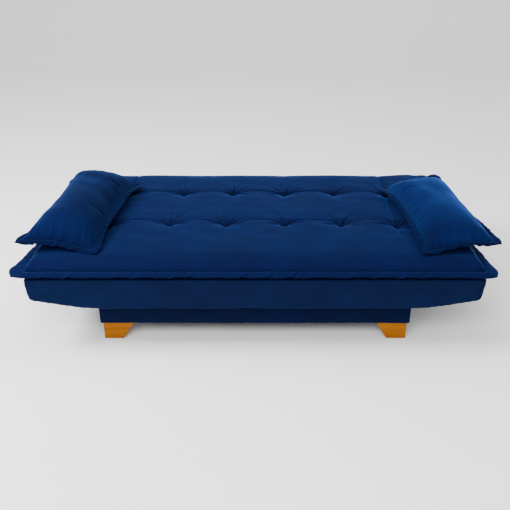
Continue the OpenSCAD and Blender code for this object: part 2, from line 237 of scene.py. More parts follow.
class Nodes:
    """Adds and links shader nodes with little writing."""

    def __init__(self, name):
        self.material = bpy.data.materials.new(name)
        self.material.use_nodes = True
        self.tree = self.material.node_tree
        self.shader = self.tree.nodes["Principled BSDF"]
        self.place = self.add("ShaderNodeTexCoord").outputs["Object"]

    def add(self, kind, **settings):
        node = self.tree.nodes.new(kind)
        for key, value in settings.items():
            setattr(node, key, value)
        return node

    def link(self, source, target):
        self.tree.links.new(source, target)

    def stretched(self, scale, turn=(0.0, 0.0, 0.0)):
        mapping = self.add("ShaderNodeMapping")
        mapping.inputs["Scale"].default_value = scale
        mapping.inputs["Rotation"].default_value = turn
        self.link(self.place, mapping.inputs["Vector"])
        return mapping.outputs["Vector"]

    def noise(self, scale, detail=2.0, rough=0.5, vector=None, distortion=0.0):
        node = self.add("ShaderNodeTexNoise")
        node.inputs["Scale"].default_value = scale
        node.inputs["Detail"].default_value = detail
        node.inputs["Roughness"].default_value = rough
        node.inputs["Distortion"].default_value = distortion
        self.link(vector or self.place, node.inputs["Vector"])
        return node.outputs["Fac"]

    def ramp(self, value, stops):
        node = self.add("ShaderNodeValToRGB")
        bar = node.color_ramp
        for i, (place, colour) in enumerate(stops):
            stop = bar.elements[i] if i < 2 else bar.elements.new(place)
            stop.position = place
            stop.color = (*colour, 1.0)
        self.link(value, node.inputs["Fac"])
        return node.outputs["Color"]

    def spread(self, value, low, high):
        node = self.add("ShaderNodeMapRange")
        node.inputs["To Min"].default_value = low
        node.inputs["To Max"].default_value = high
        self.link(value, node.inputs["Value"])
        return node.outputs["Result"]

    def mix(self, factor, a, b, mode="MIX"):
        node = self.add("ShaderNodeMix", data_type="RGBA", blend_type=mode)
        for socket, value in ((node.inputs[0], factor), (node.inputs[6], a), (node.inputs[7], b)):
            if isinstance(value, (int, float)):
                socket.default_value = value
            elif isinstance(value, tuple):
                socket.default_value = (*value, 1.0)
            else:
                self.link(value, socket)
        return node.outputs[2]

    def bump(self, height, distance, strength=1.0, normal=None):
        node = self.add("ShaderNodeBump")
        node.inputs["Strength"].default_value = strength
        node.inputs["Distance"].default_value = distance
        self.link(height, node.inputs["Height"])
        if normal is not None:
            self.link(normal, node.inputs["Normal"])
        return node.outputs["Normal"]

    def finish(self, colour=None, roughness=None, normal=None, **sockets):
        for name, value in (("Base Color", colour), ("Roughness", roughness), ("Normal", normal)):
            if value is None:
                continue
            if isinstance(value, (int, float)):
                self.shader.inputs[name].default_value = value
            else:
                self.link(value, self.shader.inputs[name])
        for name, value in sockets.items():
            self.shader.inputs[name.replace("_", " ")].default_value = value
        return self.material


def velvet(name, dark, light, sheen=0.20):
    """Short-pile velvet: random patches where the pile lies differently, faint streaks along the pile and a
    fine pile, with painted shade and a painted highlight read from mesh attributes.
    """
    n = Nodes(name)
    patches = n.noise(5.5, detail=3.0, rough=0.55, distortion=0.6)
    colour = n.ramp(patches, [(0.30, dark), (0.72, light)])
    streaks = n.noise(1.0, detail=3.0, rough=0.6, vector=n.stretched((26.0, 150.0, 60.0), (0, 0, 0.5)))
    deep = tuple(0.72 * c for c in dark)
    colour = n.mix(n.spread(streaks, 0.0, 0.10), colour, deep)
    pile = n.noise(1900.0, detail=2.0, rough=0.7)
    colour = n.mix(n.spread(pile, 0.0, 0.22), colour, tuple(min(1.0, 1.7 * c) for c in light))
    # Painted shade: darkens the colour where the crease attribute is set, in the topper's creases and tuft
    # points and on the pillows' shaded parts.
    crease = n.add("ShaderNodeAttribute", attribute_name="crease")
    painted_shade_colour = (0.20 * dark[0], 0.25 * dark[1], 0.42 * dark[2])
    colour = n.mix(n.spread(crease.outputs["Fac"], 0.0, 0.85), colour, painted_shade_colour)
    # Painted highlight: lightens the colour where the pillows' highlight attribute is set.
    painted_highlight = n.add("ShaderNodeAttribute", attribute_name="painted_highlight")
    colour = n.mix(n.spread(painted_highlight.outputs["Fac"], 0.0, 0.85), colour, tuple(1.9 * c for c in light))
    weave = n.noise(620.0, detail=2.0)
    soft = n.noise(34.0, detail=2.0, rough=0.45)
    normal = n.bump(soft, 0.0016, 0.55)
    normal = n.bump(weave, 0.0005, 0.45, normal)
    normal = n.bump(pile, 0.00025, 0.5, normal)
    rough = n.spread(patches, 0.78, 0.93)
    return n.finish(
        colour, rough, normal,
        Sheen_Weight=sheen, Sheen_Roughness=0.38, Sheen_Tint=(0.06, 0.25, 1.0, 1.0),
        Specular_IOR_Level=0.04,
    )


def wood(name, dark, mid, light, gloss, along="x"):
    """Sawn wood with growth rings stretched along the grain."""
    n = Nodes(name)
    scale = {"x": (0.9, 9.0, 9.0), "y": (9.0, 0.9, 9.0), "z": (9.0, 9.0, 0.9)}[along]
    rings = n.noise(3.2, detail=5.0, rough=0.6, vector=n.stretched(scale), distortion=1.1)
    colour = n.ramp(rings, [(0.28, dark), (0.68, light), (0.47, mid)])
    fibre_scale = tuple(60.0 * s for s in scale)
    fibres = n.noise(1.0, detail=3.0, rough=0.7, vector=n.stretched(fibre_scale))
    colour = n.mix(n.spread(fibres, 0.0, 0.5), colour, tuple(0.62 * c for c in dark))
    normal = n.bump(fibres, 0.0004, 0.35)
    normal = n.bump(rings, 0.0008, 0.12, normal)
    rough = n.spread(fibres, gloss - 0.07, gloss + 0.12)
    return n.finish(colour, rough, normal, Specular_IOR_Level=0.08)


def steel(name):
    """Zinc-plated pressed steel with rolling marks."""
    n = Nodes(name)
    marks = n.noise(1.0, detail=3.0, vector=n.stretched((30.0, 600.0, 30.0)))
    cloud = n.noise(60.0, detail=3.0)
    colour = n.ramp(cloud, [(0.3, (0.42, 0.43, 0.45)), (0.7, (0.66, 0.67, 0.68))])
    return n.finish(
        colour, n.spread(marks, 0.28, 0.46), n.bump(marks, 0.0003, 0.3), Metallic=1.0
    )


def cloth(name, dark, light, threads, rough=0.9):
    """Plain woven or felted cloth with crossing threads."""
    n = Nodes(name)
    warp = n.add("ShaderNodeTexWave", wave_type="BANDS", bands_direction="X")
    weft = n.add("ShaderNodeTexWave", wave_type="BANDS", bands_direction="Y")
    for band in (warp, weft):
        band.inputs["Scale"].default_value = threads
        band.inputs["Distortion"].default_value = 0.6
        n.link(n.place, band.inputs["Vector"])
    crossing = n.mix(0.5, warp.outputs["Color"], weft.outputs["Color"], "MULTIPLY")
    wear = n.noise(22.0, detail=3.0)
    colour = n.mix(n.spread(crossing, 0.0, 1.0), dark, light)
    colour = n.mix(n.spread(wear, 0.0, 0.35), colour, tuple(0.6 * c for c in dark))
    return n.finish(colour, rough, n.bump(crossing, 0.0004, 0.4), Specular_IOR_Level=0.2)


def moulded(name, colour, rough):
    """Moulded plastic or rubber with a fine grain."""
    n = Nodes(name)
    grain = n.noise(900.0, detail=2.0)
    tone = n.ramp(n.noise(40.0), [(0.3, tuple(0.8 * c for c in colour)), (0.7, colour)])
    return n.finish(tone, n.spread(grain, rough - 0.08, rough + 0.08), n.bump(grain, 0.0002, 0.4))


NAVY = velvet("navy_velvet", (0.0010, 0.0025, 0.0205), (0.0015, 0.0039, 0.0300))
NAVY_FRAME = velvet("navy_velvet_frame", (0.0017, 0.0043, 0.0220), (0.0026, 0.0065, 0.0310), sheen=0.18)
NAVY_BASE = velvet("navy_velvet_base", (0.0012, 0.0027, 0.0150), (0.0017, 0.0041, 0.0225), sheen=0.16)
# Painted light: the left pillow's velvet is a darker copy that stands in for shade, and the right pillow's is
# a lighter copy that stands in for light.
NAVY_SHADED_LEFT = velvet("navy_velvet_left_pillow", (0.0003, 0.0014, 0.0120), (0.0006, 0.0026, 0.0205), sheen=0.22)
NAVY_LIT_RIGHT = velvet(
    "navy_velvet_right_pillow", (0.0009, 0.0048, 0.0340), (0.0017, 0.0088, 0.0560), sheen=0.34,
)
# Painted shade: the pillow flanges get a darker copy of the velvet.
NAVY_TRIM_SHADED = velvet("navy_velvet_trim_shaded", (0.0002, 0.0012, 0.0135), (0.0004, 0.0024, 0.0230), sheen=0.15)
FOOT_WOOD = wood("honey_wood", (0.20, 0.056, 0.0), (0.28, 0.088, 0.0), (0.35, 0.118, 0.0), 0.46)
PINE = wood("sawn_pine", (0.50, 0.33, 0.17), (0.63, 0.45, 0.26), (0.74, 0.57, 0.36), 0.7)
PINE_DEEP = wood("sawn_pine_deep", (0.50, 0.33, 0.17), (0.63, 0.45, 0.26), (0.74, 0.57, 0.36), 0.7, "y")
STEEL = steel("plated_steel")
DUST = cloth("dust_cloth", (0.012, 0.012, 0.013), (0.035, 0.035, 0.037), 900.0)
WEBBING = cloth("elastic_webbing", (0.018, 0.017, 0.016), (0.075, 0.068, 0.060), 320.0)
GLIDE = moulded("glide_plastic", (0.03, 0.03, 0.03), 0.55)
RUBBER = moulded("bumper_rubber", (0.02, 0.02, 0.02), 0.8)
THREAD = cloth("navy_thread", (0.004, 0.018, 0.070), (0.010, 0.040, 0.150), 1500.0, 0.7)

SLOT_LOOKS = {
    "velvet": NAVY, "base_velvet": NAVY_BASE, "foot_wood": FOOT_WOOD, "frame_wood": PINE,
    "steel": STEEL, "black_cloth": DUST, "webbing": WEBBING, "glide": GLIDE, "bumper": RUBBER,
}


def dress_cad_nodes():
    """Gives each CAD node the look of its material slot; boards that run back to front turn their grain."""
    slot_of = {s["node"]: s["material_slot"] for s in frame["record"]["subparts"]}
    for name, node in frame["nodes"].items():
        look = SLOT_LOOKS[slot_of[name]]
        low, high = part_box(name)
        if look is PINE and high.y - low.y > 0.2:
            look = PINE_DEEP
        node.data.materials.clear()
        node.data.materials.append(look)


# ---------- Topper ----------

STITCH_R = 0.0006
STITCH_PITCH = 0.0085
STITCH_L = 0.0060
TOP_WAVES = Waves(11, 0.42)
FINE_WAVES = Waves(12, 0.11)


def edge_rise(distance, width, tail):
    """Climb of a stuffed edge: a rounded wall at the seam, then a long gentle slope."""
    t = np.clip(distance / width, 0.0, 1.0)
    return 0.88 * np.sqrt(1.0 - (1.0 - t) ** 2.1) + 0.12 * smooth(distance / tail)


def blunt(distance, radius):
    """Distance with its sharp point at zero rounded off."""
    return np.sqrt(distance * distance + radius * radius) - radius


def panel_line(side, y):
    """X of the seam that runs back to front through the last tuft of each row."""
    end = 0 if side < 0 else -1
    slope = (TUFTS[1][end] - TUFTS[0][end]) / (TUFT_ROWS[1] - TUFT_ROWS[0])
    return TUFTS[0][end] + slope * (np.clip(y, -0.30, 0.45) - TUFT_ROWS[0])


def row_path(x, row, places, bow):
    """Y of the crease that runs from tuft to tuft: it bows towards the back between them."""
    t = np.interp(x, places, np.arange(len(places)))
    part = t - np.floor(t)
    return row + bow * np.sin(math.pi * part) ** 0.62


def top_form(x, y):
    """Height of the pad's stuffed top: crown, grooves along the tuft rows and panel seams, tuft dips."""
    rise = edge_rise(SEAM_X - np.abs(x), 0.034, 0.16)
    rise = rise * edge_rise(y - SEAM_FRONT, 0.068, 0.20)
    rise = rise * edge_rise(SEAM_REAR - y, 0.040, 0.13)
    height = (CROWN + 0.0010 * TOP_WAVES(x, y)) * rise
    inner = 1.0 - smooth((np.abs(x) - PANEL_X) / 0.14)
    between = smooth((y - FOLD_Y + 0.24) / 0.16) * (1.0 - 0.8 * smooth((y - 0.33) / 0.13))
    for side in (-1, 1):
        height -= 0.0105 * between * rise * np.exp(-blunt(x - panel_line(side, y), 0.006) / 0.024)
    for row, places, bow in zip(TUFT_ROWS, TUFTS, ROW_BOWS):
        groove = (0.0006 + 0.0012 * inner) * rise
        height -= groove * np.exp(-blunt(y - row_path(x, row, places, bow), 0.004) / 0.016)
        for tuft in places:
            reach = np.hypot((x - tuft) * 0.85, (y - row) * 1.10)
            height -= 0.0165 * np.exp(-blunt(reach, 0.0025) / 0.0090)
            height -= 0.0036 * np.exp(-((reach / 0.050) ** 2))
    return SEAM_Z + height


def gathered_folds(x, y, tuft, row, rng):
    """Sharp little folds that run out from one tuft, longest towards the back."""
    dx = x - tuft
    dy = y - row
    r = np.hypot(dx, dy)
    angle = np.arctan2(dy, dx)
    height = np.zeros(x.shape)
    fans = [(aim, 0.048 + 0.050 * math.sin(aim) ** 2, 1.0) for aim in np.linspace(0.22, math.pi - 0.22, 11)]
    fans += [(aim, 0.032, 0.45) for aim in np.linspace(-math.pi + 0.5, -0.5, 6)]
    for aim, length, gain in fans:
        aim = aim + rng.uniform(-0.13, 0.13)
        length = length * rng.uniform(0.60, 1.45)
        bend = rng.uniform(-3.0, 3.0)
        off = np.abs((angle - aim - bend * r + math.pi) % (2.0 * math.pi) - math.pi)
        across = off * np.maximum(r, 0.004)
        width = 0.0020 + 0.018 * r
        along = smooth(r / 0.007) * np.exp(-((r / length) ** 2))
        height -= 0.0054 * gain * rng.uniform(0.30, 1.25) * along * np.exp(-((across / width) ** 2))
    return height


def fine_creases(x, y):
    """Thin crease lines along the tuft rows and panel seams, and the folds round each tuft."""
    height = np.zeros(x.shape)
    rng = np.random.default_rng(5)
    for row, places, bow in zip(TUFT_ROWS, TUFTS, ROW_BOWS):
        off = y - row_path(x, row, places, bow) - 0.0010 * np.sin(41.0 * x + row)
        inner = 1.0 - smooth((np.abs(x) - PANEL_X + 0.01) / 0.10)
        height -= 0.0032 * inner * np.exp(-np.abs(off) / 0.0042)
        height -= 0.0016 * inner * np.exp(-np.abs(off - 0.014 + 0.012 * np.sin(9.0 * x + row)) / 0.0040)
        for tuft in places:
            height += gathered_folds(x, y, tuft, row, rng)
    for side in (-1, 1):
        fade = smooth((y - FOLD_Y + 0.24) / 0.18)
        height -= 0.0034 * fade * np.exp(-np.abs(x - panel_line(side, y)) / 0.0040)
    return height


def puff_top(columns, rows):
    """Cloth simulation of the top sheet, held at the seam and the tufts; returns its movement."""
    x, y = np.meshgrid(columns, rows)
    z = top_form(x, y)
    points = np.stack([x, y, z], -1).reshape(-1, 3)
    sheet = mesh_object("top_sheet", points, grid_faces(len(rows), len(columns)))
    held = np.zeros(x.shape, bool)
    held[0, :] = held[-1, :] = held[:, 0] = held[:, -1] = True
    for row, places in zip(TUFT_ROWS, TUFTS):
        for tuft in places:
            held |= np.hypot(x - tuft, y - row) < 0.0075
    moved = inflate(
        sheet, np.flatnonzero(held.ravel()), frames=CLOTH_FRAMES, cap=TOPPER_PUFF_CAP,
        stiffness=14.0, bending=0.25, pressure=1.6, growth=0.010,
    )
    bpy.data.objects.remove(sheet)
    return (moved - points).reshape(x.shape + (3,))


def build_topper():
    """One continuous tufted pad across the fold line, with its boxed lower half and painted shade in its
    creases.
    """
    tufts = [x for places in TUFTS for x in places]
    columns = spaced_lines(-SEAM_X, SEAM_X, tufts, 0.048, 0.0, [-SEAM_X, SEAM_X])
    rows = spaced_lines(SEAM_FRONT, SEAM_REAR, TUFT_ROWS, 0.026, 0.105, [SEAM_FRONT, SEAM_REAR])
    shift = puff_top(columns[::2], rows[::2])
    shift = refine(refine(shift, 0), 1)
    x, y = np.meshgrid(columns, rows)
    creases = fine_creases(x, y)
    z = top_form(x, y) + creases + 0.0006 * FINE_WAVES(x, y)
    top = np.stack([x, y, z], -1) + shift
    top[0, :, 2] = top[-1, :, 2] = SEAM_Z
    top[:, 0, 2] = top[:, -1, 2] = SEAM_Z
    n_rows, n_cols = x.shape
    points = [top.reshape(-1, 3)]
    faces = [tuple(f) for f in grid_faces(n_rows, n_cols)]
    ring = boundary(n_rows, n_cols)
    seam = points[0][ring]
    size = len(ring)
    start = n_rows * n_cols
    previous = ring
    middle = np.array([0.0, (SEAM_REAR + SEAM_FRONT) / 2.0, 0.0])
    half = np.array([SEAM_X, (SEAM_REAR - SEAM_FRONT) / 2.0, 1.0])
    for inset, level in ((0.004, 0.350), (0.009, 0.341), (0.020, 0.329), (0.034, PAD_BOTTOM + 0.0012)):
        shrink = np.array([1.0 - inset / half[0], 1.0 - inset / half[1], 1.0])
        layer = middle + (seam - middle) * shrink
        arch = 0.016 * (1.0 - smooth(np.abs(layer[:, 1] - FOLD_Y) / 0.115))
        layer[:, 2] = level + arch * (SEAM_Z - level) / (SEAM_Z - PAD_BOTTOM)
        points.append(layer)
        current = start + np.arange(size)
        following = np.roll(current, -1)
        faces += list(zip(previous, current, following, np.roll(previous, -1)))
        previous = current
        start += size
    faces += underside(previous, n_rows, n_cols)
    topper = mesh_object("topper", np.concatenate(points), faces, NAVY)
    # Painted shade: a crease attribute that darkens the velvet along the crease lines and at the tuft points.
    dark = np.clip(-creases / FULL_SHADE_CREASE, 0.0, 1.0)
    for row, places in zip(TUFT_ROWS, TUFTS):
        for tuft in places:
            dark = np.maximum(dark, np.exp(-((np.hypot(x - tuft, y - row) / 0.0065) ** 2)))
    painted_shade_values = np.zeros(len(topper.data.vertices))
    painted_shade_values[:dark.size] = dark.ravel()
    shade = topper.data.attributes.new("crease", "FLOAT", "POINT")
    shade.data.foreach_set("value", painted_shade_values)
    return topper


def boundary(n_rows, n_cols):
    """Indices round the edge of a grid, anticlockwise from its first corner."""
    return np.concatenate([
        np.arange(n_cols), np.arange(1, n_rows - 1) * n_cols + n_cols - 1,
        (n_rows - 1) * n_cols + np.arange(n_cols)[::-1], np.arange(1, n_rows - 1)[::-1] * n_cols,
    ])


def underside(ring, n_rows, n_cols):
    """Closes the bottom ring with strips that run from the left side to the right side."""
    front = list(ring[:n_cols])
    right = [front[-1], *ring[n_cols:n_cols + n_rows - 2]]
    rear = list(ring[n_cols + n_rows - 2:2 * n_cols + n_rows - 2])
    right.append(rear[0])
    left = [front[0], *ring[2 * n_cols + n_rows - 2:][::-1], rear[-1]]
    faces = [(left[1], right[1], *front[::-1])]
    for j in range(1, n_rows - 2):
        faces.append((left[j + 1], right[j + 1], right[j], left[j]))
    faces.append((*rear[::-1], right[-2], left[-2]))
    return faces


def rectangle_loop(half_x, low_y, high_y, z, step):
    """Closed loop of points round a rectangle, anticlockwise from the front left, and its corner indices."""
    corners = [(-half_x, low_y), (half_x, low_y), (half_x, high_y), (-half_x, high_y)]
    loop, marks = [], []
    for i, (x0, y0) in enumerate(corners):
        x1, y1 = corners[(i + 1) % 4]
        count = int(round(math.hypot(x1 - x0, y1 - y0) / step))
        marks.append(len(loop))
        for k in range(count):
            t = k / count
            loop.append((x0 + t * (x1 - x0), y0 + t * (y1 - y0), z))
    return np.array(loop), marks


def stitch_line(name, line, pitch, length):
    """Separate thread stitches laid along a closed line, their ends pulled into the cloth."""
    closed = np.concatenate([line, line[:1]])
    stride = np.linalg.norm(np.diff(closed, axis=0), axis=1)
    run = np.concatenate([[0.0], np.cumsum(stride)])
    count = int(run[-1] / pitch)
    points, faces = [], []
    shape = ((0.0, 0.30, -0.9), (0.14, 0.85, -0.1), (0.5, 1.0, 0.25), (0.86, 0.85, -0.1), (1.0, 0.30, -0.9))
    for start in np.arange(count) * run[-1] / count:
        at = [
            np.array([np.interp(start + t * length, run, closed[:, k]) for k in range(3)])
            for t, _, _ in shape
        ]
        ahead = at[-1] - at[0]
        ahead /= np.linalg.norm(ahead)
        side = np.array([ahead[1], -ahead[0], 0.0])
        first = len(points)
        for middle, (_, girth, lift) in zip(at, shape):
            for a in range(6):
                angle = a * math.pi / 3.0
                ring = side * math.cos(angle) + np.array([0.0, 0.0, math.sin(angle)])
                points.append(middle + STITCH_R * (girth * ring + [0.0, 0.0, lift]))
        for k in range(len(shape) - 1):
            for a in range(6):
                b = (a + 1) % 6
                base = first + 6 * k
                faces.append((base + a, base + b, base + 6 + b, base + 6 + a))
        faces.append(tuple(first + 5 - a for a in range(6)))
        faces.append(tuple(first + 24 + a for a in range(6)))
    return mesh_object(name, points, faces, THREAD)


def flange_strip(
    name, loop, marks, width, thick, droop, ear, ears, broad, spread, lifts, seed, pucker, waves,
    material,
):
    """Double layer of cloth sewn round a seam: gathered on the slant, with a pointed ear at each corner."""
    count = len(loop)
    rng = np.random.default_rng(seed)
    stride = np.linalg.norm(np.roll(loop, -1, axis=0) - loop, axis=1)
    run = np.concatenate([[0.0], np.cumsum(stride)[:-1]])
    total = stride.sum()
    tangent = np.roll(loop, -2, axis=0) - np.roll(loop, 2, axis=0)
    outward = np.stack([tangent[:, 1], -tangent[:, 0], np.zeros(count)], 1)
    outward /= np.linalg.norm(outward, axis=1, keepdims=True)
    marks = np.array(marks)
    gap = np.abs(run[:, None] - run[marks][None, :])
    gap = np.minimum(gap, total - gap)
    nearest = gap.argmin(1)
    near = gap.min(1)
    bisector = outward[marks - 8] + outward[(marks + 8) % count]
    bisector /= np.linalg.norm(bisector, axis=1, keepdims=True)
    turn = smooth(1.0 - near / 0.040)[:, None]
    aim = outward * (1.0 - turn) + bisector[nearest] * turn
    aim /= np.linalg.norm(aim, axis=1, keepdims=True)
    point = (1.0 - spread) * np.clip(1.0 - blunt(near, 0.008) / 0.050, 0.0, 1.0)
    point += spread * np.clip(1.0 - near / broad, 0.0, 1.0) * np.abs(aim[:, 0])
    point *= np.array(ears)[nearest]
    slow_phase = rng.uniform(0, 6, 3)
    place = 2.0 * math.pi * run / total
    slow = np.sin(7 * place + slow_phase[0]) + 0.6 * np.sin(23 * place + slow_phase[1])
    patches = 0.75 + 0.45 * np.sin(19 * place + slow_phase[2]) * np.sin(6 * place)
    patches *= (0.45 + 0.55 * smooth(near / 0.16)) * (1.0 - 0.45 * np.abs(aim[:, 0]))
    parts = [
        (max(3, round(total / w)), rng.uniform(0, 6), rng.uniform(0.8, 1.1) * (w / max(waves)) ** 0.7)
        for w in waves
    ]
    fine_parts = [(round(total / w), rng.uniform(0, 6), 0.8) for w in (0.031, 0.021)]
    reach = width * (1.0 + 0.05 * slow + ear * point)
    lift_corner = np.array(lifts)[nearest] * point

    def gathers(shift, terms):
        at = 2.0 * math.pi * (run + shift) / total
        value = np.zeros(count)
        for cycles, phase, gain in terms:
            value += gain * np.sin(cycles * at + phase + 1.6 * np.sin(9 * at + phase))
        return patches * value

    def centre_line(t):
        lean = max(t, 0.0)
        line = loop + aim * (reach * t)[:, None]
        sway = gathers(0.9 * width * lean, parts)
        tucks = gathers(0.9 * width * lean, fine_parts) * math.sin(math.pi * min(1.0, 1.05 * lean))
        line[:, 2] += lean ** 1.4 * (lift_corner - droop) + pucker * sway * lean * (1.3 - 0.5 * lean)
        line[:, 2] += 0.45 * pucker * tucks
        line[:, :2] += aim[:, :2] * (0.20 * pucker * sway * lean * lean)[:, None]
        return line

    upper, lower = [], []
    for t in (-0.24, 0.0, 0.09, 0.24, 0.45, 0.68, 0.87, 0.96):
        half = 0.5 * thick * (1.0 - 0.25 * max(t, 0.0))
        half *= {0.0: 0.5, 0.09: 0.46, 0.24: 0.82, 0.96: 0.62}.get(t, 1.0)
        line = centre_line(t)
        upper.append(line + [0.0, 0.0, half])
        lower.append(line - [0.0, 0.0, half])
    section = upper + [centre_line(1.0)] + lower[::-1]
    faces = []
    for a in range(len(section)):
        b = (a + 1) % len(section)
        i = np.arange(count)
        j = np.roll(i, -1)
        faces += list(zip(a * count + i, b * count + i, b * count + j, a * count + j))
    stitched = centre_line(0.11) + [0.0, 0.0, 0.21 * thick + 0.0002]
    threads = stitch_line(name.replace("flange", "stitches"), stitched, STITCH_PITCH, STITCH_L)
    return mesh_object(name, np.concatenate(section), faces, material), threads


def build_topper_flange():
    """The flange round the topper: it droops a little and ends in a pointed ear at each corner."""
    loop, marks = rectangle_loop(SEAM_X, SEAM_FRONT, SEAM_REAR, SEAM_Z - 0.001, 0.0040)
    return flange_strip(
        "topper_flange", loop, marks, width=FLANGE_W, thick=FLANGE_T, droop=0.0120,
        ear=1.75, ears=(1.0, 0.74, 1.0, 1.0), broad=0.33, spread=0.80,
        lifts=(0.017, 0.012, 0.036, 0.012), seed=3, pucker=0.0038, waves=(0.115, 0.050, 0.033),
        material=NAVY,
    )


def soften(piece):
    """One subdivision of the finished mesh."""
    level = piece.modifiers.new("soften", "SUBSURF")
    level.levels = 1
    level.render_levels = 1
    apply_modifiers(piece)
    piece.data.polygons.foreach_set("use_smooth", [True] * len(piece.data.polygons))


def join_fold(piece):
    """Bakes the piece's placement into its mesh."""
    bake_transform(piece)


# ---------- Pillows ----------

PILLOW_STEP = 0.0066
PILLOW_FLANGE = 0.021
PILLOW_FLANGE_T = 0.0070
PILLOW_PUFF_CAP = 0.0075
PILLOW_SEAM_LIFT = 0.038
PILLOW_REAR_RISE = 0.004


def pillow_shape(side, seed, half_w, half_l, height, fullness, bulge, painted_tone):
    """Grid of the pillow's upper face: drawn-in seam, sunk inner corners, gathered cloth, and its painted
    highlight and painted shade.
    """
    nx = int(round(2 * half_w / PILLOW_STEP)) + 1
    ny = int(round(2 * half_l / PILLOW_STEP)) + 1
    s, t = np.meshgrid(np.linspace(-1, 1, nx), np.linspace(-1, 1, ny))
    u = 0.62 * s + 0.38 * np.sin(0.5 * math.pi * s)
    v = 0.80 * t + 0.20 * np.sin(0.5 * math.pi * t)
    x = u * half_w * (1.0 - 0.060 * (1.0 - v ** 4))
    x = x + side * bulge * np.clip(side * u, 0.0, 1.0) * (1.0 - v ** 2) * (1.0 - 0.6 * v)
    y = v * half_l * (1.0 - 0.030 * (1.0 - u ** 2))
    across = np.maximum(1.0 - np.abs(u) ** (2.4 + 2.2 * smooth(v)), 0.0) ** 0.58
    along = np.maximum(1.0 - np.abs(v) ** np.where(v < 0.0, 4.2, fullness), 0.0) ** 0.62
    form = across * along
    rng = np.random.default_rng(seed)
    soft = Waves(seed, 0.21)(x, y)
    from_end = (1.0 - np.abs(v)) * half_l
    from_side = (1.0 - np.abs(u)) * half_w
    fan = x * (1.0 + 0.5 * from_end / half_l)
    end_folds = np.sin(2 * math.pi * fan / 0.041 + rng.uniform(0, 6) + 2.0 * np.sin(31.0 * x + seed))
    end_folds += 0.6 * np.sin(2 * math.pi * fan / 0.023 + rng.uniform(0, 6))
    side_folds = np.sin(2 * math.pi * y / 0.047 + 2.2 * np.sin(17.0 * y + seed) + rng.uniform(0, 6))
    folds = 0.0034 * end_folds * np.exp(-from_end / 0.055) + 0.0005 * side_folds * np.exp(-from_side / 0.018)
    z = form * height * (1.0 + 0.028 * soft) + folds * np.minimum(1.0, form * 3.0)
    sink = 0.031 * smooth((0.35 - side * u) / 1.35) * np.abs(v) ** 3.5
    front = np.exp(-(((v + 0.84) / 0.24) ** 2))
    outer = np.exp(-(((side * u - 0.75) / 0.30) ** 2)) * (1.0 - v ** 2)
    # Painted light: a painted highlight over the front end and outer side when the painted tone is positive,
    # and painted shade over the inner side and, when the painted tone is negative, over the front end.
    painted_tones = {
        "painted_highlight": np.clip(max(painted_tone, 0.0) * (front + 0.6 * outer), 0.0, 1.0),
        "crease": np.clip(0.45 * smooth((-side * u - 0.1) / 0.8) + max(-painted_tone, 0.0) * front, 0.0, 1.0),
    }
    return x, y, z, form, sink, painted_tones


def fill_pillow(points, faces, seam):
    """Cloth simulation of the closed cover, held at its seam."""
    piece = mesh_object("envelope", points, faces)
    filled = inflate(
        piece, seam, frames=CLOTH_FRAMES, cap=PILLOW_PUFF_CAP, stiffness=13.0, bending=0.16,
        pressure=4.0, growth=0.006,
    )
    bpy.data.objects.remove(piece)
    return filled


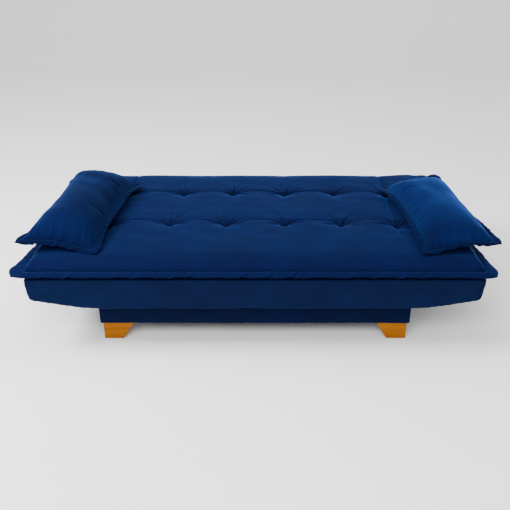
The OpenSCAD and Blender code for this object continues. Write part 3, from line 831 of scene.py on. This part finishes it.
def build_pillow(
    side, seed, look, trim, yaw, shift, half_w, half_l, height, fullness, bulge, painted_tone, lifts,
    open_share, front_droop, ear_reach,
):
    """A loose flanged pillow that lies on the topper and rides on its own body."""
    name = "left" if side < 0 else "right"
    low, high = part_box("pillow_" + name)
    x, y, z, form, sink, painted_tones = pillow_shape(side, seed, half_w, half_l, height, fullness, bulge, painted_tone)
    ny, nx = x.shape
    under = -PILLOW_SEAM_LIFT * np.minimum(1.0, 1.10 * form)
    top = np.stack([x, y, z - sink], -1).reshape(-1, 3)
    bottom = np.stack([x, y, under - sink], -1).reshape(-1, 3)
    seam = boundary(ny, nx)
    inner = np.setdiff1d(np.arange(nx * ny), seam)
    index = np.arange(nx * ny)
    index[inner] = nx * ny + np.arange(len(inner))
    faces = [tuple(f) for f in grid_faces(ny, nx)]
    faces += [tuple(index[i] for i in f) for f in grid_faces(ny, nx, flip=True)]
    points = fill_pillow(np.concatenate([top, bottom[inner]]), faces, seam)
    points[:, 2] = np.maximum(points[:, 2], -PILLOW_SEAM_LIFT)
    points[:, 2] += PILLOW_REAR_RISE * smooth(0.5 + 0.5 * points[:, 1] / half_l)
    turn = math.radians(yaw) * side
    spin = np.array([[math.cos(turn), -math.sin(turn), 0], [math.sin(turn), math.cos(turn), 0], [0, 0, 1]])
    centre = np.array([(low.x + high.x) / 2, (low.y + high.y) / 2, low.z + PILLOW_SEAM_LIFT])
    placed = points @ spin.T + centre + np.array([*shift, 0.0])
    body = mesh_object("pillow_body_" + name, placed, faces, look)
    # Stores the painted highlight and painted shade as point attributes for the velvet.
    for tone, grid in painted_tones.items():
        flat = grid.ravel()
        values = np.concatenate([flat, flat[inner]])
        body.data.attributes.new(tone, "FLOAT", "POINT").data.foreach_set("value", values)
    loop = placed[seam]
    fine = refine(np.concatenate([loop, loop[:1]]), 0)[:-1]
    marks = [0, 2 * (nx - 1), 2 * (nx + ny - 2), 2 * (2 * nx + ny - 3)]
    share = np.arange(len(fine)) - (marks[1] if side > 0 else marks[3])
    share = share / ((marks[2] - marks[1]) if side > 0 else (len(fine) - marks[3]))
    from_front = share if side > 0 else 1.0 - share
    outer_side = smooth((from_front - open_share) / 0.20) * smooth(8.0 * (1.0 - from_front))
    front_share = np.arange(len(fine)) / marks[1]
    front_side = smooth(7.0 * front_share) * smooth(7.0 * (1.0 - front_share))
    flange, threads = flange_strip(
        "pillow_flange_" + name, fine, marks, width=PILLOW_FLANGE, thick=PILLOW_FLANGE_T,
        droop=0.003 + 0.019 * outer_side + front_droop * front_side,
        ear=0.62, ears=(1.0, 1.0, 1.0, 1.0), broad=ear_reach, spread=0.55, lifts=lifts,
        seed=seed + 7, pucker=0.0033 + 0.0032 * front_side, waves=(0.075, 0.042, 0.026),
        material=trim,
    )
    soften(body)
    for piece in (body, flange, threads):
        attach(piece, "pillow_" + name)
    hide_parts("pillow_" + name)


# ---------- Upholstered frames and base ----------


def boat_outline():
    """Right half of the frames' end view, from the middle of the underside to the top, from the CAD cover."""
    low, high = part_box("seat_cover")
    w, base, top = high.x + 0.0020, low.z - 0.0005, high.z + 0.0065
    half = [(0.0, base), (0.62, base), (0.68, base + 0.0008), (0.727, base + 0.004)]
    half += [(0.800, base + 0.016), (0.870, base + 0.0285)]
    radius = 0.025
    for a in range(-80, 1, 10):
        angle = math.radians(a)
        half.append((w - 0.033 + radius * math.cos(angle), 0.245 + radius * math.sin(angle)))
    half.append((w - 0.003, 0.285))
    half.append((w, top))
    return half


def prism(name, outline, y0, y1):
    """A closed prism along Y over an XZ outline that is mirrored to the left."""
    full = outline + [(-x, z) for x, z in reversed(outline) if x > 0]
    count = len(full)
    points = [(x, y0, z) for x, z in full] + [(x, y1, z) for x, z in full]
    faces = [tuple(range(count)), tuple(range(2 * count - 1, count - 1, -1))]
    faces += [(i, i + count, (i + 1) % count + count, (i + 1) % count) for i in range(count)]
    return mesh_object(name, points, [f[::-1] for f in faces])


def upholster(piece, voxel, rounding, keep, seed, puff, material, thick=0.0045):
    """Rounds a block's edges, gives it the slight waves of cloth over foam, leaves its cover as a shell."""
    remesh = piece.modifiers.new("remesh", "REMESH")
    remesh.mode = "VOXEL"
    remesh.voxel_size = voxel
    apply_modifiers(piece)
    relax = piece.modifiers.new("relax", "SMOOTH")
    relax.factor = 0.5
    relax.iterations = rounding
    apply_modifiers(piece)
    mesh = piece.data
    points = get_points(mesh)
    normals = np.empty(len(mesh.vertices) * 3)
    mesh.vertices.foreach_get("normal", normals)
    normals = normals.reshape(-1, 3)
    waves = Waves(seed, 0.30)
    small = Waves(seed + 1, 0.085)
    ripple = waves(points[:, 0] + 0.7 * points[:, 1], 2.2 * points[:, 2] + points[:, 1])
    crease = small(points[:, 0] + points[:, 1], 1.5 * points[:, 2])
    points = points + normals * (puff * (0.9 * ripple + 0.35 * crease))[:, None]
    set_points(mesh, points)
    work = bmesh.new()
    work.from_mesh(mesh)
    away = [f for f in work.faces if not keep(f.calc_center_median(), f.normal)]
    bmesh.ops.delete(work, geom=away, context="FACES")
    work.to_mesh(mesh)
    work.free()
    shell = piece.modifiers.new("shell", "SOLIDIFY")
    shell.thickness = thick
    shell.offset = -1.0
    apply_modifiers(piece)
    piece.data.materials.clear()
    piece.data.materials.append(material)
    piece.data.polygons.foreach_set("use_smooth", [True] * len(piece.data.polygons))


def build_frame_cover(node, body, seed):
    """Padded cover of the seat or back frame: long face, both ends and the turned-under edge."""
    low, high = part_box(node)
    is_seat = body == "base"
    open_y = high.y if is_seat else low.y
    long_y = low.y if is_seat else high.y
    inward = 1.0 if is_seat else -1.0
    ends = sorted((long_y, open_y + inward * 0.020))
    piece = prism(node.replace("_cover", "_fascia"), boat_outline(), *ends)

    def keep(centre, normal):
        if (centre.y - open_y) * inward > -0.001:
            return False
        if abs(normal.z) < 0.75:
            return True
        lip = 0.024 if normal.z > 0 else 0.034
        return (centre.y - long_y) * inward < lip or abs(centre.x) > high.x - lip - 0.006

    upholster(piece, 0.0045, 8, keep, seed, 0.0010, NAVY_FRAME)
    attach(piece, body)
    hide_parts(node)


def build_base_cover():
    """Cover of the base box, open at its top and bottom."""
    low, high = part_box("base_cover")
    outline = [(0.0, low.z - 0.0015), (high.x + 0.003, low.z - 0.0015), (high.x + 0.003, high.z)]
    piece = prism("base_fascia", outline, low.y - 0.001, high.y + 0.001)

    def keep(centre, normal):
        edge = min(high.x - abs(centre.x), centre.y - low.y, high.y - centre.y)
        return abs(normal.z) < 0.75 or (edge < 0.022 and normal.z < 0)

    upholster(piece, 0.0045, 5, keep, 31, 0.0008, NAVY_BASE, 0.0038)
    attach(piece, "base")
    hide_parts("base_cover")


def build_feet():
    """Wooden feet with eased edges over the CAD outline."""
    for name in [n for n in frame["nodes"] if n.startswith("foot_") and n.endswith(("_left", "_right"))]:
        source = frame["nodes"][name]
        piece = bpy.data.objects.new(name + "_wood", source.data.copy())
        SCENE.collection.objects.link(piece)
        work = bmesh.new()
        work.from_mesh(piece.data)
        bmesh.ops.remove_doubles(work, verts=work.verts, dist=0.00002)
        bmesh.ops.dissolve_limit(work, angle_limit=0.02, verts=work.verts, edges=work.edges)
        work.to_mesh(piece.data)
        work.free()
        bevel = piece.modifiers.new("bevel", "BEVEL")
        bevel.width = 0.0028
        bevel.segments = 3
        bevel.limit_method = "ANGLE"
        bevel.angle_limit = math.radians(30.0)
        apply_modifiers(piece)
        piece.data.materials.clear()
        piece.data.materials.append(FOOT_WOOD)
        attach(piece, "base")
        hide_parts(name)


# ---------- Stage, light and camera ----------

CAMERA_PLACE = (0.0, -3.111, 1.692)
CAMERA_PITCH = math.radians(26.08)
CAMERA_LENS = 50.9


def build_camera():
    data = bpy.data.cameras.new("camera")
    data.lens = CAMERA_LENS
    data.sensor_width = 36.0
    data.clip_end = 60.0
    camera = bpy.data.objects.new("camera", data)
    camera.location = CAMERA_PLACE
    camera.rotation_euler = (math.pi / 2.0 - CAMERA_PITCH, 0.0, 0.0)
    SCENE.collection.objects.link(camera)
    SCENE.camera = camera


def area_light(name, place, aim, size, power):
    """A white rectangular lamp that points at a place."""
    data = bpy.data.lights.new(name, "AREA")
    data.shape = "RECTANGLE"
    data.size, data.size_y = size
    data.energy = power
    lamp = bpy.data.objects.new(name, data)
    lamp.location = place
    lamp.rotation_euler = (Vector(aim) - Vector(place)).to_track_quat("-Z", "Y").to_euler()
    SCENE.collection.objects.link(lamp)


def build_stage():
    """Pale floor that curves up far behind the object, and soft studio light."""
    n = Nodes("studio_floor")
    tone = n.ramp(n.noise(1.5, detail=2.0), [(0.3, (0.93, 0.93, 0.932)), (0.7, (0.95, 0.95, 0.952))])
    pale = n.finish(tone, 0.75, n.bump(n.noise(300.0), 0.0004, 0.1), Specular_IOR_Level=0.1)
    profile = [(-9.0, 0.0), (5.0, 0.0)]
    profile += [(5.0 + 3.0 * math.sin(a), 3.0 - 3.0 * math.cos(a)) for a in np.linspace(0.1, math.pi / 2, 12)]
    profile += [(8.0, 9.0)]
    points = [(x, y, z) for x in (-14.0, 14.0) for y, z in profile]
    faces = grid_faces(2, len(profile))
    floor = mesh_object("floor", points, faces, pale)
    world = bpy.data.worlds.new("studio")
    world.use_nodes = True
    back = world.node_tree.nodes["Background"]
    back.inputs["Color"].default_value = (1.0, 1.0, 1.0, 1.0)
    back.inputs["Strength"].default_value = 1.05
    SCENE.world = world
    area_light("key", (-3.0, -0.7, 3.1), (0.2, -0.1, 0.3), (1.3, 1.3), 220.0)
    area_light("fill", (-0.7, -3.5, 3.0), (0.0, -0.2, 0.3), (2.8, 1.4), 150.0)
    area_light("top", (-0.2, 0.2, 4.2), (0.0, 0.0, 0.0), (3.4, 2.6), 85.0)


# ---------- Put together ----------

build_camera()
dress_cad_nodes()

topper = build_topper()
topper_flange, topper_stitches = build_topper_flange()
for piece in (topper, topper_flange, topper_stitches):
    join_fold(piece)
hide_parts("seat_pad", "back_pad")

# The left pillow gets a painted highlight at its front end and outer side, and the right one gets painted
# shade at its front end.
build_pillow(
    -1, 21, NAVY_SHADED_LEFT, NAVY_TRIM_SHADED, yaw=5.6, shift=(0.011, 0.013),
    half_w=0.151, half_l=0.362, height=0.084, fullness=8.0, bulge=0.0, painted_tone=0.75,
    lifts=(0.002, 0.0, 0.016, -0.030), open_share=0.04, front_droop=0.008, ear_reach=0.16,
)
build_pillow(
    1, 22, NAVY_LIT_RIGHT, NAVY_TRIM_SHADED, yaw=4.6, shift=(0.024, -0.017),
    half_w=0.142, half_l=0.348, height=0.068, fullness=5.0, bulge=0.010, painted_tone=-0.40,
    lifts=(0.006, 0.006, -0.034, 0.008), open_share=0.28, front_droop=0.003, ear_reach=0.30,
)
build_frame_cover("seat_cover", "base", 41)
build_frame_cover("back_cover", "back", 43)
build_base_cover()
build_feet()
build_stage()
